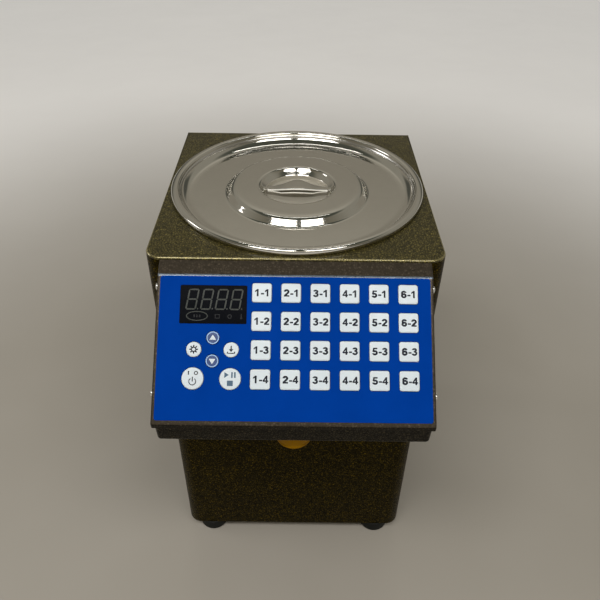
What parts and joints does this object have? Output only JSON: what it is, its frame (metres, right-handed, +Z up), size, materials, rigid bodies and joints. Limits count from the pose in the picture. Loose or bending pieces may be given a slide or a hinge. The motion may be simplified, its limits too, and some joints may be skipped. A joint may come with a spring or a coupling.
{
  "type": "fructose dispenser",
  "caption": "Countertop syrup dispenser: painted sheet-metal cabinet with a lidded round steel pot in its top, a sloping keypad head at the front and a nozzle under it.",
  "frame": {"origin": "on the floor, at the middle of the whole footprint, control head included", "axes": "+Z up, +X to the viewer's right when facing the keys, -Y towards the viewer"},
  "size_m": [0.27, 0.3806, 0.436],
  "materials": {
    "cabinet_paint": "hammertone enamel",
    "head_paint": "hammertone enamel",
    "zinc_sheet": "galvanised",
    "foot_rubber": "moulded",
    "screw_steel": "nickel plated",
    "pot_steel": "polished",
    "lid_steel": "mirror polished",
    "heater_silicone": "matt",
    "thermostat_metal": "plain",
    "fitting_steel": "machined",
    "hose_silicone": "translucent",
    "pump_alloy": "cast and machined",
    "gear_steel": "ground",
    "motor_metal": "zinc plated",
    "nozzle_amber": "translucent amber",
    "overlay_blue": "fine satin",
    "window_smoke": "gloss",
    "key_white": "satin",
    "key_blue": "satin",
    "board_green": "solder mask",
    "supply_alloy": "punched",
    "inlet_plastic": "moulded",
    "rocker_plastic": "moulded"
  },
  "bodies": {
    "cabinet": {"body_wrap": "cabinet_paint", "top_cover": "cabinet_paint", "rear_panel": "cabinet_paint", "base_plate": "zinc_sheet", "rubber_feet": "foot_rubber", "case_screws": "screw_steel", "syrup_pot": "pot_steel", "heater_band": "heater_silicone", "thermostat": "thermostat_metal", "pot_outlet": "fitting_steel", "suction_hose": "hose_silicone", "discharge_hose": "hose_silicone", "hose_clamps": "screw_steel", "pump_body": "pump_alloy", "pump_cover": "pump_alloy", "gear_motor": "motor_metal", "pump_bracket": "zinc_sheet", "nozzle": "nozzle_amber", "head_shell": "head_paint", "face_cover": "head_paint", "overlay": "overlay_blue", "display_window": "window_smoke", "control_board": "board_green", "power_supply": "supply_alloy", "power_inlet": "inlet_plastic"},
    "lid": {"lid": "lid_steel", "lid_handle": "lid_steel"},
    "rocker_switch": {"rocker": "rocker_plastic"},
    "pump_drive": {"drive_gear": "gear_steel"},
    "pump_idler": {"driven_gear": "gear_steel"},
    "dose_key_1_1": {"dose_key_1_1": "key_white"},
    "dose_key_1_2": {"dose_key_1_2": "key_white"},
    "dose_key_1_3": {"dose_key_1_3": "key_white"},
    "dose_key_1_4": {"dose_key_1_4": "key_white"},
    "dose_key_2_1": {"dose_key_2_1": "key_white"},
    "dose_key_2_2": {"dose_key_2_2": "key_white"},
    "dose_key_2_3": {"dose_key_2_3": "key_white"},
    "dose_key_2_4": {"dose_key_2_4": "key_white"},
    "dose_key_3_1": {"dose_key_3_1": "key_white"},
    "dose_key_3_2": {"dose_key_3_2": "key_white"},
    "dose_key_3_3": {"dose_key_3_3": "key_white"},
    "dose_key_3_4": {"dose_key_3_4": "key_white"},
    "dose_key_4_1": {"dose_key_4_1": "key_white"},
    "dose_key_4_2": {"dose_key_4_2": "key_white"},
    "dose_key_4_3": {"dose_key_4_3": "key_white"},
    "dose_key_4_4": {"dose_key_4_4": "key_white"},
    "dose_key_5_1": {"dose_key_5_1": "key_white"},
    "dose_key_5_2": {"dose_key_5_2": "key_white"},
    "dose_key_5_3": {"dose_key_5_3": "key_white"},
    "dose_key_5_4": {"dose_key_5_4": "key_white"},
    "dose_key_6_1": {"dose_key_6_1": "key_white"},
    "dose_key_6_2": {"dose_key_6_2": "key_white"},
    "dose_key_6_3": {"dose_key_6_3": "key_white"},
    "dose_key_6_4": {"dose_key_6_4": "key_white"},
    "up_key": {"up_key": "key_blue"},
    "down_key": {"down_key": "key_blue"},
    "set_key": {"set_key": "key_white"},
    "save_key": {"save_key": "key_white"},
    "power_key": {"power_key": "key_white"},
    "stop_key": {"stop_key": "key_white"}
  },
  "joints": [
    {"name": "lid_lift", "type": "slide", "parent": "cabinet", "child": "lid", "axis": [0, 0, 1], "range_m": [0, 0.25]},
    {"name": "rocker_tilt", "type": "hinge", "parent": "cabinet", "child": "rocker_switch", "pos_m": [-0.085, 0.18515, 0.083], "axis": [-1, 0, 0], "range_deg": [0, 20]},
    {"name": "pump_drive_spin", "type": "hinge", "parent": "cabinet", "child": "pump_drive", "pos_m": [0, -0.0035, 0.1229], "axis": [0, 1, 0], "continuous": true},
    {"name": "pump_idler_spin", "type": "hinge", "parent": "cabinet", "child": "pump_idler", "pos_m": [0, -0.0035, 0.1451], "axis": [0, 1, 0], "continuous": true},
    {"name": "dose_key_1_1_press", "type": "slide", "parent": "cabinet", "child": "dose_key_1_1", "axis": [0, 0.6704, -0.742], "range_m": [0, 0.0005], "stiffness_N_per_m": 400, "springref_m": -0.001},
    {"name": "dose_key_1_2_press", "type": "slide", "parent": "cabinet", "child": "dose_key_1_2", "axis": [0, 0.6704, -0.742], "range_m": [0, 0.0005], "stiffness_N_per_m": 400, "springref_m": -0.001},
    {"name": "dose_key_1_3_press", "type": "slide", "parent": "cabinet", "child": "dose_key_1_3", "axis": [0, 0.6704, -0.742], "range_m": [0, 0.0005], "stiffness_N_per_m": 400, "springref_m": -0.001},
    {"name": "dose_key_1_4_press", "type": "slide", "parent": "cabinet", "child": "dose_key_1_4", "axis": [0, 0.6704, -0.742], "range_m": [0, 0.0005], "stiffness_N_per_m": 400, "springref_m": -0.001},
    {"name": "dose_key_2_1_press", "type": "slide", "parent": "cabinet", "child": "dose_key_2_1", "axis": [0, 0.6704, -0.742], "range_m": [0, 0.0005], "stiffness_N_per_m": 400, "springref_m": -0.001},
    {"name": "dose_key_2_2_press", "type": "slide", "parent": "cabinet", "child": "dose_key_2_2", "axis": [0, 0.6704, -0.742], "range_m": [0, 0.0005], "stiffness_N_per_m": 400, "springref_m": -0.001},
    {"name": "dose_key_2_3_press", "type": "slide", "parent": "cabinet", "child": "dose_key_2_3", "axis": [0, 0.6704, -0.742], "range_m": [0, 0.0005], "stiffness_N_per_m": 400, "springref_m": -0.001},
    {"name": "dose_key_2_4_press", "type": "slide", "parent": "cabinet", "child": "dose_key_2_4", "axis": [0, 0.6704, -0.742], "range_m": [0, 0.0005], "stiffness_N_per_m": 400, "springref_m": -0.001},
    {"name": "dose_key_3_1_press", "type": "slide", "parent": "cabinet", "child": "dose_key_3_1", "axis": [0, 0.6704, -0.742], "range_m": [0, 0.0005], "stiffness_N_per_m": 400, "springref_m": -0.001},
    {"name": "dose_key_3_2_press", "type": "slide", "parent": "cabinet", "child": "dose_key_3_2", "axis": [0, 0.6704, -0.742], "range_m": [0, 0.0005], "stiffness_N_per_m": 400, "springref_m": -0.001},
    {"name": "dose_key_3_3_press", "type": "slide", "parent": "cabinet", "child": "dose_key_3_3", "axis": [0, 0.6704, -0.742], "range_m": [0, 0.0005], "stiffness_N_per_m": 400, "springref_m": -0.001},
    {"name": "dose_key_3_4_press", "type": "slide", "parent": "cabinet", "child": "dose_key_3_4", "axis": [0, 0.6704, -0.742], "range_m": [0, 0.0005], "stiffness_N_per_m": 400, "springref_m": -0.001},
    {"name": "dose_key_4_1_press", "type": "slide", "parent": "cabinet", "child": "dose_key_4_1", "axis": [0, 0.6704, -0.742], "range_m": [0, 0.0005], "stiffness_N_per_m": 400, "springref_m": -0.001},
    {"name": "dose_key_4_2_press", "type": "slide", "parent": "cabinet", "child": "dose_key_4_2", "axis": [0, 0.6704, -0.742], "range_m": [0, 0.0005], "stiffness_N_per_m": 400, "springref_m": -0.001},
    {"name": "dose_key_4_3_press", "type": "slide", "parent": "cabinet", "child": "dose_key_4_3", "axis": [0, 0.6704, -0.742], "range_m": [0, 0.0005], "stiffness_N_per_m": 400, "springref_m": -0.001},
    {"name": "dose_key_4_4_press", "type": "slide", "parent": "cabinet", "child": "dose_key_4_4", "axis": [0, 0.6704, -0.742], "range_m": [0, 0.0005], "stiffness_N_per_m": 400, "springref_m": -0.001},
    {"name": "dose_key_5_1_press", "type": "slide", "parent": "cabinet", "child": "dose_key_5_1", "axis": [0, 0.6704, -0.742], "range_m": [0, 0.0005], "stiffness_N_per_m": 400, "springref_m": -0.001},
    {"name": "dose_key_5_2_press", "type": "slide", "parent": "cabinet", "child": "dose_key_5_2", "axis": [0, 0.6704, -0.742], "range_m": [0, 0.0005], "stiffness_N_per_m": 400, "springref_m": -0.001},
    {"name": "dose_key_5_3_press", "type": "slide", "parent": "cabinet", "child": "dose_key_5_3", "axis": [0, 0.6704, -0.742], "range_m": [0, 0.0005], "stiffness_N_per_m": 400, "springref_m": -0.001},
    {"name": "dose_key_5_4_press", "type": "slide", "parent": "cabinet", "child": "dose_key_5_4", "axis": [0, 0.6704, -0.742], "range_m": [0, 0.0005], "stiffness_N_per_m": 400, "springref_m": -0.001},
    {"name": "dose_key_6_1_press", "type": "slide", "parent": "cabinet", "child": "dose_key_6_1", "axis": [0, 0.6704, -0.742], "range_m": [0, 0.0005], "stiffness_N_per_m": 400, "springref_m": -0.001},
    {"name": "dose_key_6_2_press", "type": "slide", "parent": "cabinet", "child": "dose_key_6_2", "axis": [0, 0.6704, -0.742], "range_m": [0, 0.0005], "stiffness_N_per_m": 400, "springref_m": -0.001},
    {"name": "dose_key_6_3_press", "type": "slide", "parent": "cabinet", "child": "dose_key_6_3", "axis": [0, 0.6704, -0.742], "range_m": [0, 0.0005], "stiffness_N_per_m": 400, "springref_m": -0.001},
    {"name": "dose_key_6_4_press", "type": "slide", "parent": "cabinet", "child": "dose_key_6_4", "axis": [0, 0.6704, -0.742], "range_m": [0, 0.0005], "stiffness_N_per_m": 400, "springref_m": -0.001},
    {"name": "up_key_press", "type": "slide", "parent": "cabinet", "child": "up_key", "axis": [0, 0.6704, -0.742], "range_m": [0, 0.0005], "stiffness_N_per_m": 400, "springref_m": -0.001},
    {"name": "down_key_press", "type": "slide", "parent": "cabinet", "child": "down_key", "axis": [0, 0.6704, -0.742], "range_m": [0, 0.0005], "stiffness_N_per_m": 400, "springref_m": -0.001},
    {"name": "set_key_press", "type": "slide", "parent": "cabinet", "child": "set_key", "axis": [0, 0.6704, -0.742], "range_m": [0, 0.0005], "stiffness_N_per_m": 400, "springref_m": -0.001},
    {"name": "save_key_press", "type": "slide", "parent": "cabinet", "child": "save_key", "axis": [0, 0.6704, -0.742], "range_m": [0, 0.0005], "stiffness_N_per_m": 400, "springref_m": -0.001},
    {"name": "power_key_press", "type": "slide", "parent": "cabinet", "child": "power_key", "axis": [0, 0.6704, -0.742], "range_m": [0, 0.0005], "stiffness_N_per_m": 400, "springref_m": -0.001},
    {"name": "stop_key_press", "type": "slide", "parent": "cabinet", "child": "stop_key", "axis": [0, 0.6704, -0.742], "range_m": [0, 0.0005], "stiffness_N_per_m": 400, "springref_m": -0.001}
  ],
  "couplings": [
    {"joint": "pump_idler_spin", "follows": "pump_drive_spin", "ratio": -1}
  ]
}
